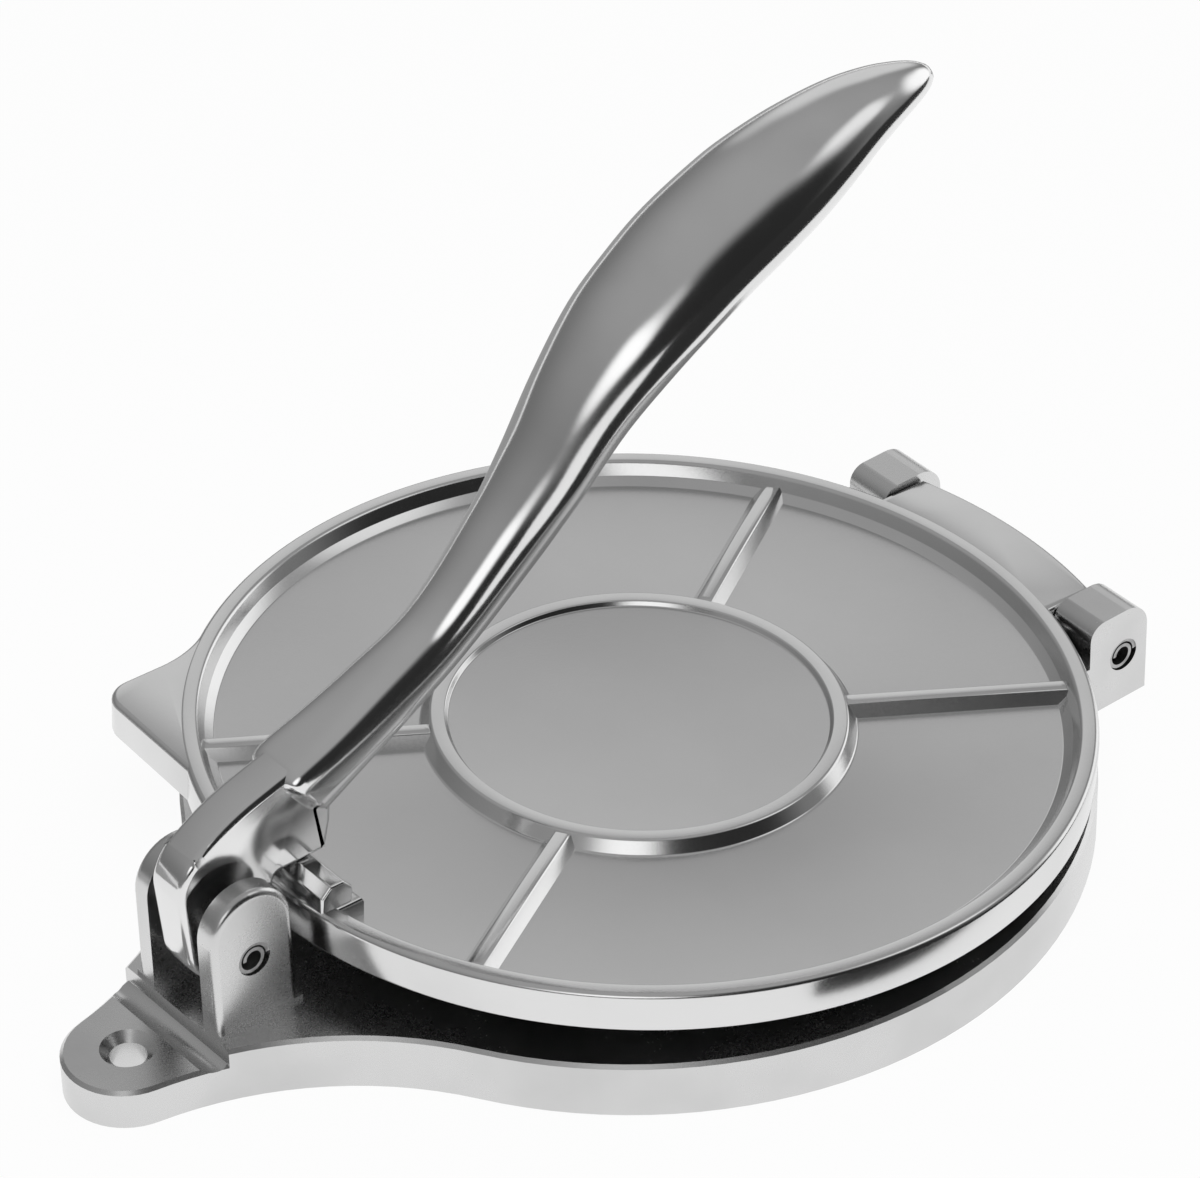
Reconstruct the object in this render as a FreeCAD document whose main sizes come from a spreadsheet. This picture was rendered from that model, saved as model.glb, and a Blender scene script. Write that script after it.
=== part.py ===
"""Cast aluminium tortilla press: two round plates hinged at the back, closed by a lever at the front.

X runs along the pins, the hinge is towards +Y, the lever's lobe towards -Y and +Z is up.
The origin is the centre of the base plate on the surface that the press stands on.
Sizes are in millimetres and angles in degrees, all kept in the sheet below.
"""
import FreeCAD, Part
import math
import os
import Sketcher

SIZES = [
    # base plate and its front lobe
    ("plate_radius", 100.0, "round part of the top plate, which sets the size of the press"),
    ("disc_margin", 0.4, "round part of the base standing out beyond the top plate"),
    ("base_height", 13.2, "pressing face above the table"),
    ("nose_radius", 14.0, "rounded end of the lobe"),
    ("nose_reach", 37.9, "centre of that end in front of the disc's edge"),
    ("waist_radius", 80.0, "hollow sides between lobe and disc"),
    ("lobe_height", 9.5, "lower top face of the lobe"),
    ("step_reach", 24.8, "step from the lobe up to the base's top, in front of the disc's edge"),
    ("scoop_width", 5.6, "shallow channel before the step"),
    ("scoop_depth", 1.0, "depth of that channel"),
    ("screw_setback", 0.3, "screw hole behind the centre of the rounded end"),
    ("screw_bore_radius", 4.0, "hole that screws the press to a bench"),
    ("screw_lip", 2.0, "sloping lip of that hole"),
    ("edge_break", 0.8, "small slope along the cast edges"),
    ("base_wall", 7.4, "wall round the hollow underside"),
    ("base_web", 5.7, "metal under the pressing face"),
    ("base_rib_width", 4.0, "ribs across the hollow underside"),
    ("base_hub_radius", 14.0, "hub where those ribs cross"),
    # lever ears
    ("lever_pin_reach", 13.8, "lever pin in front of the disc's edge"),
    ("lever_pin_height", 29.5, "lever pin above the table"),
    ("ear_half_width", 10.3, "half of an ear, front to back"),
    ("ear_rise", 6.8, "centre of the ear's round top above the pin"),
    ("ear_thickness", 5.3, "thickness of an ear"),
    ("ear_round", 1.6, "rounding of an ear's outer edges"),
    ("ear_foot_height", 1.1, "thin foot round the ears"),
    ("ear_foot_reach", 0.7, "foot standing out beyond the ears"),
    ("pin_radius", 4.0, "all three pins"),
    ("pin_clearance", 0.08, "gap round a pin in the piece that turns on it"),
    ("pin_recess", 0.3, "pin ends below the ear's face"),
    ("coil_wall", 0.85, "sheet that the pins are rolled from"),
    ("coil_gap", 0.45, "gap between the rolled turns"),
    # hinge
    ("hinge_reach", 7.5, "hinge pins behind the top plate's edge"),
    ("hinge_height", 12.4, "hinge pins above the table"),
    ("leaf_width", 56.4, "hinge leaf of the top plate"),
    ("leaf_clearance", 0.3, "gap between the leaf and each ear"),
    ("leaf_reach", 12.0, "outer edge of the leaf beyond the plate's edge"),
    ("knuckle_radius", 6.4, "round of the leaf about its pins"),
    ("hinge_ear_thickness", 11.9, "thickness of a hinge ear"),
    ("hinge_ear_front", 10.2, "ear's front face before the pin"),
    ("hinge_ear_back", 7.1, "ear's back face behind the pin"),
    ("hinge_ear_rise", 12.1, "ear's top above the pin"),
    ("hinge_front_round", 4.0, "front corner of the ear's top"),
    ("hinge_back_round", 6.6, "back corner of the ear's top"),
    ("hinge_root", 19.0, "root of the ear in the disc, before the pin"),
    ("hinge_pin_length", 30.0, "each of the two hinge pins"),
    ("swing_clearance", 0.6, "gap between the opening plate and the ears"),
    # top plate, closed on the base
    ("plate_gap", 0.5, "gap between the closed plates"),
    ("plate_height", 9.4, "height of the plate's edge"),
    ("rim_width", 7.2, "flat top of the rim"),
    ("dish_depth", 4.5, "dished floor below the rim"),
    ("wall_draft", 1.2, "lean of the walls inside the dish"),
    ("ring_width", 5.0, "raised ring in the middle of the dish"),
    ("boss_draft", 1.6, "lean of the ring's outer wall"),
    ("boss_height", 3.0, "top of the ring above the floor"),
    ("well_radius", 41.0, "shallow recess inside the ring"),
    ("well_depth", 0.8, "depth of that recess"),
    ("rib_angle", 58.5, "ribs either side of the X axis"),
    ("rib_foot_width", 7.4, "rib at the floor"),
    ("rib_crest_width", 2.6, "rib at its crest"),
    ("rib_height", 3.2, "crest above the floor"),
    ("tab_side_inset", 23.0, "outer side of the finger tab inside the plate's reach along X"),
    ("tab_front_inset", 11.0, "front side of the finger tab inside that reach along Y"),
    ("tab_round", 7.0, "tip of the finger tab"),
    ("tab_hollow", 26.0, "hollow curve from the tab into the rim"),
    ("lug_width", 31.0, "press lug, side to side"),
    ("lug_length", 8.2, "press lug, front to back"),
    ("lug_height", 5.9, "press lug above the rim"),
    ("lug_crown_radius", 6.0, "round top of the lug"),
    ("lug_setback", 1.6, "lug behind the plate's front edge"),
    ("lug_round", 1.1, "rounding of the lug's ends"),
    ("pad_width", 32.4, "rim pad that carries the lug"),
    ("pad_reach", 12.0, "that pad inwards from the plate's edge"),
    ("rest_gap", 0.2536, "gap between the lug and the heel at rest, measured at the middle of the lug"),
    # lever, measured from its pin with the handle as it stands at rest
    ("heel_thickness", 16.0, "flat-sided heel between the ears"),
    ("heel_clearance", 0.7, "gap between the heel and each ear"),
    ("heel_bottom_radius", 13.0, "heel's round underside about its pin"),
    ("heel_round", 2.4, "rounding of the heel's edges"),
    ("cam_height", 9.8, "pressing face of the heel above the pin"),
    ("cam_start", 13.4, "near end of that face"),
    ("cam_notch", 17.0, "angle where the round underside turns up to it"),
    ("cam_end", 24.2, "far end of that face"),
    ("lever_reach", 197.4, "pin to tip, along Y"),
    ("lever_rise", 127.2, "pin to tip, along Z"),
    ("grip_half_width", 16.0, "widest half of the grip"),
    ("grip_half_depth", 12.0, "thickest half of the grip"),
    # shared
    ("overrun", 3.0, "how far cuts run past what they cut"),
]

# top of the heel, as shares of the lever's reach and rise: start of the arc round the front corner,
# its end, a point along the long arc that goes on from there, and where that runs into the neck
HEEL_TOP_SHARES = [(-0.0825, 0.120), (-0.0633, 0.198), (0.0253, 0.283), (0.172, 0.3334)]

# back of the heel, from the cam face up into the neck
HEEL_BACK_SHARES = [(0.129, 0.131), (0.150, 0.170), (0.160, 0.240)]

# sections of neck and grip: along, up, half width, half depth, and how square the section is
LEVER_SHARES = [
    (0.105, 0.226, 0.46, 0.66, 3.0),
    (0.139, 0.237, 0.58, 0.81, 3.0),
    (0.177, 0.259, 0.56, 0.74, 2.8),
    (0.224, 0.292, 0.51, 0.64, 2.5),
    (0.306, 0.363, 0.49, 0.585, 2.2),
    (0.401, 0.489, 0.575, 0.685, 2.1),
    (0.455, 0.577, 0.69, 0.75, 2.0),
    (0.510, 0.679, 0.80, 0.85, 2.0),
    (0.567, 0.762, 0.93, 0.94, 2.0),
    (0.617, 0.815, 0.98, 0.98, 2.0),
    (0.669, 0.862, 1.00, 1.00, 2.0),
    (0.743, 0.912, 0.98, 0.975, 2.0),
    (0.785, 0.936, 0.93, 0.925, 2.0),
    (0.831, 0.961, 0.83, 0.83, 2.0),
    (0.884, 0.986, 0.67, 0.675, 2.0),
    (0.927, 0.997, 0.525, 0.53, 2.0),
    (0.962, 1.000, 0.38, 0.39, 2.0),
    (0.985, 1.000, 0.25, 0.265, 2.0),
    (0.997, 1.000, 0.13, 0.145, 2.0),
]
SECTION_ARCS = 8
COIL_HALF_TURNS = 3
SAME_PLACE = 0.01  # how near two coordinates of an edge count as one


class Size:
    """A size from the sheet, or a formula of such sizes, as a number and as an expression."""

    def __init__(self, value, text):
        self.value = value
        self.text = text

    @staticmethod
    def of(other):
        return other if isinstance(other, Size) else Size(float(other), repr(float(other)))

    def joined(self, other, sign, value):
        return Size(value, "(%s %s %s)" % (self.text, sign, Size.of(other).text))

    def __add__(self, other):
        return self.joined(other, "+", self.value + Size.of(other).value)

    def __sub__(self, other):
        return self.joined(other, "-", self.value - Size.of(other).value)

    def __mul__(self, other):
        return self.joined(other, "*", self.value * Size.of(other).value)

    def __truediv__(self, other):
        return self.joined(other, "/", self.value / Size.of(other).value)

    def __neg__(self):
        return Size(-self.value, "(-1 * %s)" % self.text)

    def squared(self):
        return self * self

    def root(self):
        return Size(math.sqrt(self.value), "sqrt(%s)" % self.text)

    def lean(self):
        return Size(math.degrees(math.atan(self.value)), "atan(%s)" % self.text)


ZERO = Size(0.0, "0")


def make_sheet(doc):
    """Write every size into the sheet, one row each, with its name as alias."""
    sheet = doc.addObject("Spreadsheet::Sheet", "sizes")
    for row, (name, value, note) in enumerate(SIZES, start=1):
        sheet.set("A%d" % row, name)
        sheet.set("B%d" % row, str(value))
        sheet.set("C%d" % row, note)
        sheet.setAlias("B%d" % row, name)
    doc.recompute()
    s = {name: Size(float(sheet.get(name)), "sizes.%s" % name) for name, value, note in SIZES}
    add_places(s)
    return s


def add_places(s):
    """Places and radii that follow the top plate's radius, and how far that plate stands open."""
    s["disc_radius"] = s["plate_radius"] + s["disc_margin"]
    s["nose_place"] = s["disc_radius"] + s["nose_reach"]
    s["step_place"] = s["disc_radius"] + s["step_reach"]
    s["screw_place"] = s["nose_place"] - s["screw_setback"]
    s["lever_pin_place"] = s["disc_radius"] + s["lever_pin_reach"]
    s["hinge_place"] = s["plate_radius"] + s["hinge_reach"]
    s["leaf_radius"] = s["plate_radius"] + s["leaf_reach"]
    s["boss_radius"] = s["well_radius"] + s["ring_width"]
    s["tab_side"] = s["plate_radius"] - s["tab_side_inset"]
    s["tab_front"] = s["plate_radius"] - s["tab_front_inset"]
    lug_middle = s["plate_radius"] - s["lug_setback"] - s["lug_length"] / 2
    lug_top = s["base_height"] + s["plate_gap"] + s["plate_height"] + s["lug_height"]
    lift = s["lever_pin_height"] + s["cam_height"] - s["rest_gap"] - lug_top
    s["rest_tilt"] = (lift / (s["hinge_place"] + lug_middle)).lean()


def origin_plane(body, role):
    return [plane for plane in body.Origin.OriginFeatures if plane.Role == role][0]


def new_sketch(body, name, role, offset=ZERO, turn=ZERO):
    """A sketch on one of the body's own planes, set off along its normal and turned in it."""
    sketch = body.newObject("Sketcher::SketchObject", name)
    sketch.AttachmentSupport = [(origin_plane(body, role), "")]
    sketch.MapMode = "FlatFace"
    axis = FreeCAD.Vector(0, 0, 1)
    sketch.AttachmentOffset = FreeCAD.Placement(axis * offset.value, FreeCAD.Rotation(axis, turn.value))
    if offset is not ZERO:
        sketch.setExpression("AttachmentOffset.Base.z", offset.text)
    if turn is not ZERO:
        sketch.setExpression("AttachmentOffset.Rotation.Angle", turn.text)
    return sketch


def bind(sketch, kind, size, *where):
    """Add a constraint whose value follows the sheet."""
    index = sketch.addConstraint(Sketcher.Constraint(kind, *where, size.value))
    sketch.setExpression("Constraints[%d]" % index, size.text)


def pin_point(sketch, curve, end, across, up):
    """Hold one end of a curve at a place, on an axis where its coordinate is zero."""
    if across is ZERO:
        sketch.addConstraint(Sketcher.Constraint("PointOnObject", curve, end, -2))
    else:
        bind(sketch, "DistanceX", across, curve, end)
    if up is ZERO:
        sketch.addConstraint(Sketcher.Constraint("PointOnObject", curve, end, -1))
    else:
        bind(sketch, "DistanceY", up, curve, end)


def draw_outline(sketch, start, steps):
    """Draw a closed outline. A step is a point to draw a line to, or a point with a radius and
    whether the arc to it turns to the left."""
    here = start
    previous = None
    first = None
    for step in steps:
        there = step[:2]
        a = FreeCAD.Vector(here[0].value, here[1].value, 0)
        b = FreeCAD.Vector(there[0].value, there[1].value, 0)
        if len(step) == 2:
            curve = sketch.addGeometry(Part.LineSegment(a, b), False)
            begin, finish = 1, 2
        else:
            radius, left = step[2], step[3]
            chord = b - a
            normal = FreeCAD.Vector(-chord.y, chord.x, 0).normalize() * (1 if left else -1)
            sagitta = math.sqrt(max(radius.value ** 2 - chord.Length ** 2 / 4, 0))
            middle = (a + b) * 0.5 + normal * sagitta
            low, high = (a, b) if left else (b, a)
            angles = [math.atan2(p.y - middle.y, p.x - middle.x) for p in (low, high)]
            circle = Part.Circle(middle, FreeCAD.Vector(0, 0, 1), radius.value)
            curve = sketch.addGeometry(Part.ArcOfCircle(circle, angles[0], angles[1]), False)
            begin, finish = (1, 2) if left else (2, 1)
            bind(sketch, "Radius", radius, curve)
        pin_point(sketch, curve, begin, here[0], here[1])
        if previous is None:
            first = (curve, begin)
        else:
            sketch.addConstraint(Sketcher.Constraint("Coincident", previous[0], previous[1], curve, begin))
        previous = (curve, finish)
        here = there
    sketch.addConstraint(Sketcher.Constraint("Coincident", previous[0], previous[1], first[0], first[1]))


def draw_circle(sketch, radius, across=ZERO, up=ZERO):
    middle = FreeCAD.Vector(across.value, up.value, 0)
    curve = sketch.addGeometry(Part.Circle(middle, FreeCAD.Vector(0, 0, 1), radius.value), False)
    bind(sketch, "Radius", radius, curve)
    pin_point(sketch, curve, 3, across, up)


def draw_box(sketch, left, right, low, high):
    draw_outline(sketch, (left, low), [(right, low), (right, high), (left, high), (left, low)])


def new_feature(body, kind, name, sketch, length=None, symmetric=False, back=False):
    """A pad or pocket of a sketch, through everything where it has no length."""
    feature = body.newObject("PartDesign::" + kind, name)
    feature.Profile = sketch
    feature.Reversed = back
    if symmetric:
        feature.SideType = "Symmetric"
    if length is None:
        feature.Type = "ThroughAll"
    else:
        feature.setExpression("Length", length.text)
    sketch.Visibility = False
    return feature


def mirror(body, name, features, role):
    mirrored = body.newObject("PartDesign::Mirrored", name)
    mirrored.Originals = features
    mirrored.MirrorPlane = (origin_plane(body, role), [""])
    body.Tip = mirrored
    return mirrored


def edges_where(shape, test):
    return ["Edge%d" % number for number, edge in enumerate(shape.Edges, start=1) if test(edge)]


def dress_edges(body, kind, name, size, test):
    """Round or slope the tip's edges that the test picks."""
    body.Document.recompute()
    base = body.Tip
    names = edges_where(base.Shape, test)
    if not names:
        raise RuntimeError("no edge found for " + name)
    feature = body.newObject("PartDesign::" + kind, name)
    feature.Base = (base, names)
    feature.setExpression("Radius" if kind == "Fillet" else "Size", size.text)
    return feature


def near(a, b):
    return abs(a - b) < SAME_PLACE


def flat_at(edge, height):
    box = edge.BoundBox
    return near(box.ZMin, height) and near(box.ZMax, height)


def at_x(edge, place):
    """Whether the edge lies flat in the plane at this X, on either side."""
    box = edge.BoundBox
    return near(box.XMin, box.XMax) and near(abs(box.XMin), place)


def make_base(doc, s):
    """Lower casting: disc, waist and lobe in one outline, lever ears in front, hinge ears behind."""
    body = doc.addObject("PartDesign::Body", "base")
    body.Label = "base"

    # the hollow sides of the waist touch both the disc and the round nose
    disc_sum = s["disc_radius"] + s["waist_radius"]
    nose_sum = s["nose_radius"] + s["waist_radius"]
    waist_y = -((disc_sum.squared() - nose_sum.squared() + s["nose_place"].squared()) / (s["nose_place"] * 2))
    waist_x = (disc_sum.squared() - waist_y.squared()).root()
    disc_x = waist_x * s["disc_radius"] / disc_sum
    disc_y = waist_y * s["disc_radius"] / disc_sum
    nose_x = waist_x * s["nose_radius"] / nose_sum
    nose_y = (waist_y + s["nose_place"]) * s["nose_radius"] / nose_sum - s["nose_place"]
    outline = new_sketch(body, "outline", "XY_Plane")
    draw_outline(outline, (-nose_x, nose_y), [
        (ZERO, -(s["nose_place"] + s["nose_radius"]), s["nose_radius"], True),
        (nose_x, nose_y, s["nose_radius"], True),
        (disc_x, disc_y, s["waist_radius"], False),
        (s["disc_radius"], ZERO, s["disc_radius"], True),
        (ZERO, s["disc_radius"], s["disc_radius"], True),
        (-s["disc_radius"], ZERO, s["disc_radius"], True),
        (-disc_x, disc_y, s["disc_radius"], True),
        (-nose_x, nose_y, s["waist_radius"], False),
    ])
    new_feature(body, "Pad", "plate", outline, s["base_height"])

    # the lobe's top lies lower than the pressing face, with a shallow channel before the step
    lobe = new_sketch(body, "lobe_top", "XY_Plane", offset=s["lobe_height"])
    far = s["nose_place"] + s["nose_radius"] + s["overrun"]
    draw_box(lobe, -far, far, -far, -s["step_place"])
    new_feature(body, "Pocket", "lobe_step", lobe, s["base_height"], back=True)
    heights = (s["base_height"].value, s["lobe_height"].value)
    dress_edges(body, "Chamfer", "plate_edges", s["edge_break"],
                lambda edge: any(flat_at(edge, height) for height in heights)
                and edge.Curve.TypeId != "Part::GeomLine")
    scoop = new_sketch(body, "scoop_section", "YZ_Plane")
    scoop_radius = ((s["scoop_width"] / 2).squared() + s["scoop_depth"].squared()) / (s["scoop_depth"] * 2)
    draw_outline(scoop, (-(s["step_place"] + s["scoop_width"]), s["lobe_height"]), [
        (-s["step_place"], s["lobe_height"], scoop_radius, True),
        (-(s["step_place"] + s["scoop_width"]), s["lobe_height"]),
    ])
    new_feature(body, "Pocket", "scoop", scoop, far * 2, symmetric=True)

    # hollow underside with crossing ribs
    hollow = new_sketch(body, "hollow_outline", "XY_Plane")
    draw_circle(hollow, s["disc_radius"] - s["base_wall"])
    hollow_depth = s["base_height"] - s["base_web"]
    new_feature(body, "Pocket", "hollow", hollow, hollow_depth, back=True)
    hub = new_sketch(body, "hub_outline", "XY_Plane")
    draw_circle(hub, s["base_hub_radius"])
    new_feature(body, "Pad", "hub", hub, hollow_depth)
    for name, turn in (("left", -s["rib_angle"]), ("right", s["rib_angle"])):
        rib = new_sketch(body, name + "_base_rib", "XY_Plane", turn=turn)
        reach = s["disc_radius"] - s["base_wall"] / 2
        draw_box(rib, -reach, reach, -(s["base_rib_width"] / 2), s["base_rib_width"] / 2)
        new_feature(body, "Pad", name + "_base_rib_pad", rib, hollow_depth)

    # lever ears on a thin foot
    inner = s["heel_thickness"] / 2 + s["heel_clearance"]
    outer = inner + s["ear_thickness"]
    ear_top = s["lever_pin_height"] + s["ear_rise"]
    front = -(s["lever_pin_place"] + s["ear_half_width"])
    back = -(s["lever_pin_place"] - s["ear_half_width"])
    foot = new_sketch(body, "ear_foot_outline", "XY_Plane", offset=s["base_height"])
    draw_box(foot, inner, outer + s["ear_foot_reach"], front, back + s["ear_foot_reach"])
    foot_pad = new_feature(body, "Pad", "ear_foot", foot, s["ear_foot_height"])
    ear = new_sketch(body, "ear_outline", "YZ_Plane", offset=inner)
    draw_outline(ear, (front, s["lobe_height"]), [
        (back, s["lobe_height"]),
        (back, ear_top),
        (-s["lever_pin_place"], ear_top + s["ear_half_width"], s["ear_half_width"], True),
        (front, ear_top, s["ear_half_width"], True),
        (front, s["lobe_height"]),
    ])
    ear_pad = new_feature(body, "Pad", "ear", ear, s["ear_thickness"])

    # hinge ears, rooted in the disc
    leaf_side = s["leaf_width"] / 2 + s["leaf_clearance"]
    pin_y = s["hinge_place"]
    top = s["hinge_height"] + s["hinge_ear_rise"]
    ear_front = pin_y - s["hinge_ear_front"]
    ear_back = pin_y + s["hinge_ear_back"]
    root = pin_y - s["hinge_root"]
    hinge_ear = new_sketch(body, "hinge_ear_outline", "YZ_Plane", offset=leaf_side)
    draw_outline(hinge_ear, (root, ZERO), [
        (ear_back, ZERO),
        (ear_back, top - s["hinge_back_round"]),
        (ear_back - s["hinge_back_round"], top, s["hinge_back_round"], True),
        (ear_front + s["hinge_front_round"], top),
        (ear_front, top - s["hinge_front_round"], s["hinge_front_round"], True),
        (ear_front, s["base_height"]),
        (root, s["base_height"]),
        (root, ZERO),
    ])
    hinge_pad = new_feature(body, "Pad", "hinge_ear", hinge_ear, s["hinge_ear_thickness"])
    mirror(body, "other_ears", [foot_pad, ear_pad, hinge_pad], "YZ_Plane")

    # bores
    bores = new_sketch(body, "pin_bores", "YZ_Plane")
    draw_circle(bores, s["pin_radius"], -s["lever_pin_place"], s["lever_pin_height"])
    draw_circle(bores, s["pin_radius"], s["hinge_place"], s["hinge_height"])
    new_feature(body, "Pocket", "bores", bores, far * 2, symmetric=True)
    screw = new_sketch(body, "screw_hole_outline", "XY_Plane")
    draw_circle(screw, s["screw_bore_radius"], up=-s["screw_place"])
    new_feature(body, "Pocket", "screw_hole", screw, s["base_height"], back=True)

    lip = s["screw_bore_radius"].value
    dress_edges(body, "Chamfer", "screw_lip", s["screw_lip"], lambda edge: flat_at(edge, heights[1])
                and near(edge.BoundBox.XLength, 2 * lip))
    ear_face = outer.value
    bore_top = s["lever_pin_height"].value + s["pin_radius"].value
    dress_edges(body, "Fillet", "ear_edges", s["ear_round"], lambda edge: at_x(edge, ear_face)
                and edge.BoundBox.ZMax > bore_top + SAME_PLACE)
    return body


def rest_swing(s):
    """How the top plate stands open at rest, turned about its hinge pins."""
    axis = FreeCAD.Vector(0, s["hinge_place"].value, s["hinge_height"].value)
    turn = FreeCAD.Rotation(FreeCAD.Vector(-1, 0, 0), s["rest_tilt"].value)
    return FreeCAD.Placement(FreeCAD.Vector(0, 0, 0), turn, axis)


def make_top_plate(doc, s):
    """Upper casting, drawn closed on the base and then swung to its rest place."""
    body = doc.addObject("PartDesign::Body", "top_plate")
    body.Label = "top_plate"
    low = s["base_height"] + s["plate_gap"]
    high = low + s["plate_height"]
    floor = high - s["dish_depth"]
    boss_top = floor + s["boss_height"]
    rim_inside = s["plate_radius"] - s["rim_width"]

    # turned section: edge, rim, dished floor, raised middle and its shallow well
    section = new_sketch(body, "plate_section", "XZ_Plane")
    draw_outline(section, (ZERO, low), [
        (s["plate_radius"], low),
        (s["plate_radius"], high - s["edge_break"]),
        (s["plate_radius"] - s["edge_break"], high),
        (rim_inside, high),
        (rim_inside - s["wall_draft"], floor),
        (s["boss_radius"] + s["boss_draft"], floor),
        (s["boss_radius"], boss_top),
        (s["well_radius"], boss_top),
        (s["well_radius"], boss_top - s["well_depth"]),
        (ZERO, boss_top - s["well_depth"]),
        (ZERO, low),
    ])
    turned = body.newObject("PartDesign::Revolution", "dish")
    turned.Profile = section
    turned.ReferenceAxis = (section, ["V_Axis"])
    section.Visibility = False

    # four ribs from the raised middle out to the rim, with leaning sides
    side_run = (s["rib_foot_width"] - s["rib_crest_width"]) / 2
    lean = (side_run / s["rib_height"]).lean()
    half_turn = Size(180.0, "180")
    for name, turn in (("back_right", s["rib_angle"]), ("back_left", half_turn - s["rib_angle"]),
                       ("front_left", half_turn + s["rib_angle"]), ("front_right", -s["rib_angle"])):
        rib = new_sketch(body, name + "_rib_outline", "XY_Plane", offset=floor, turn=turn)
        draw_box(rib, s["boss_radius"] - side_run, rim_inside + s["rim_width"] / 2,
                 -(s["rib_foot_width"] / 2), s["rib_foot_width"] / 2)
        pad = new_feature(body, "Pad", name + "_rib", rib, s["rib_height"])
        pad.setExpression("TaperAngle", (-lean).text)

    # hinge leaf, with a knuckle round the pins
    leaf_side = s["leaf_width"] / 2
    leaf_back = (s["leaf_radius"].squared() - leaf_side.squared()).root()
    leaf_root = rim_inside + s["edge_break"]
    leaf = new_sketch(body, "leaf_outline", "XY_Plane", offset=low)
    draw_outline(leaf, (-leaf_side, leaf_root), [
        (leaf_side, leaf_root),
        (leaf_side, leaf_back),
        (-leaf_side, leaf_back, s["leaf_radius"], True),
        (-leaf_side, leaf_root),
    ])
    new_feature(body, "Pad", "leaf", leaf, s["plate_height"])
    knuckle = new_sketch(body, "knuckle_outline", "YZ_Plane")
    draw_circle(knuckle, s["knuckle_radius"], s["hinge_place"], s["hinge_height"])
    new_feature(body, "Pad", "knuckle", knuckle, s["leaf_width"], symmetric=True)

    # finger tab, whose hollow side touches the plate's edge
    hollow_sum = s["plate_radius"] + s["tab_hollow"]
    hollow_x = s["tab_side"] + s["tab_hollow"]
    hollow_y = (hollow_sum.squared() - hollow_x.squared()).root()
    touch_x = hollow_x * s["plate_radius"] / hollow_sum
    touch_y = hollow_y * s["plate_radius"] / hollow_sum
    front_x = (s["plate_radius"].squared() - s["tab_front"].squared()).root()
    tab = new_sketch(body, "tab_outline", "XY_Plane", offset=low)
    draw_outline(tab, (-touch_x, -touch_y), [
        (-s["tab_side"], -hollow_y, s["tab_hollow"], False),
        (-s["tab_side"], -(s["tab_front"] - s["tab_round"])),
        (-(s["tab_side"] - s["tab_round"]), -s["tab_front"], s["tab_round"], True),
        (-front_x, -s["tab_front"]),
        (-touch_x, -touch_y),
    ])
    new_feature(body, "Pad", "tab", tab, s["plate_height"])

    # press lug with a round crown, on a pad level with the rim
    lug_front = s["plate_radius"] - s["lug_setback"]
    lug_back = lug_front - s["lug_length"]
    lug_pad = new_sketch(body, "lug_pad_outline", "XY_Plane", offset=floor)
    draw_box(lug_pad, -(s["pad_width"] / 2), s["pad_width"] / 2,
             -(rim_inside + s["edge_break"]), -(s["plate_radius"] - s["pad_reach"]))
    new_feature(body, "Pad", "lug_pad", lug_pad, s["dish_depth"])
    half_length = s["lug_length"] / 2
    crown = s["lug_crown_radius"] - (s["lug_crown_radius"].squared() - half_length.squared()).root()
    shoulder = high + s["lug_height"] - crown
    lug = new_sketch(body, "lug_section", "YZ_Plane")
    draw_outline(lug, (-lug_front, floor), [
        (-lug_back, floor),
        (-lug_back, shoulder),
        (-lug_front, shoulder, s["lug_crown_radius"], True),
        (-lug_front, floor),
    ])
    new_feature(body, "Pad", "lug", lug, s["lug_width"], symmetric=True)
    lug_end = s["lug_width"].value / 2
    dress_edges(body, "Fillet", "lug_ends", s["lug_round"],
                lambda edge: at_x(edge, lug_end) and edge.Curve.TypeId == "Part::GeomCircle")

    # relief in the rim beside the leaf, so that it swings clear of the hinge ears
    corner_y = s["hinge_ear_front"] - s["hinge_front_round"]
    corner_z = s["hinge_ear_rise"] - s["hinge_front_round"]
    swing = (corner_y.squared() + corner_z.squared()).root() + s["hinge_front_round"] + s["swing_clearance"]
    relief = new_sketch(body, "swing_relief_outline", "YZ_Plane", offset=leaf_side)
    draw_circle(relief, swing, s["hinge_place"], s["hinge_height"])
    relief_width = s["leaf_clearance"] + s["hinge_ear_thickness"] + s["swing_clearance"]
    cut = new_feature(body, "Pocket", "swing_relief", relief, relief_width, back=True)
    mirror(body, "swing_reliefs", [cut], "YZ_Plane")
    bore = new_sketch(body, "leaf_bore_outline", "YZ_Plane")
    draw_circle(bore, s["pin_radius"] + s["pin_clearance"], s["hinge_place"], s["hinge_height"])
    new_feature(body, "Pocket", "leaf_bore", bore, s["leaf_width"] + s["overrun"], symmetric=True)
    body.Placement = rest_swing(s)
    return body


def section_wire(centre, along, half_width, half_depth, power):
    """Closed section of arcs, square to the handle's run, from round (2) towards square."""
    across = FreeCAD.Vector(1, 0, 0)
    up = along.cross(across)

    def point(turn):
        c, d = math.cos(2 * math.pi * turn), math.sin(2 * math.pi * turn)
        width = math.copysign(abs(c) ** (2 / power), c) * half_width
        depth = math.copysign(abs(d) ** (2 / power), d) * half_depth
        return centre + across * width + up * depth

    ends = [point(count / SECTION_ARCS) for count in range(SECTION_ARCS)]
    middles = [point((count + 1 / 2) / SECTION_ARCS) for count in range(SECTION_ARCS)]
    arcs = zip(ends, middles, ends[1:] + ends[:1])
    return Part.Wire([Part.Arc(start, middle, end).toShape() for start, middle, end in arcs])


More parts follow.
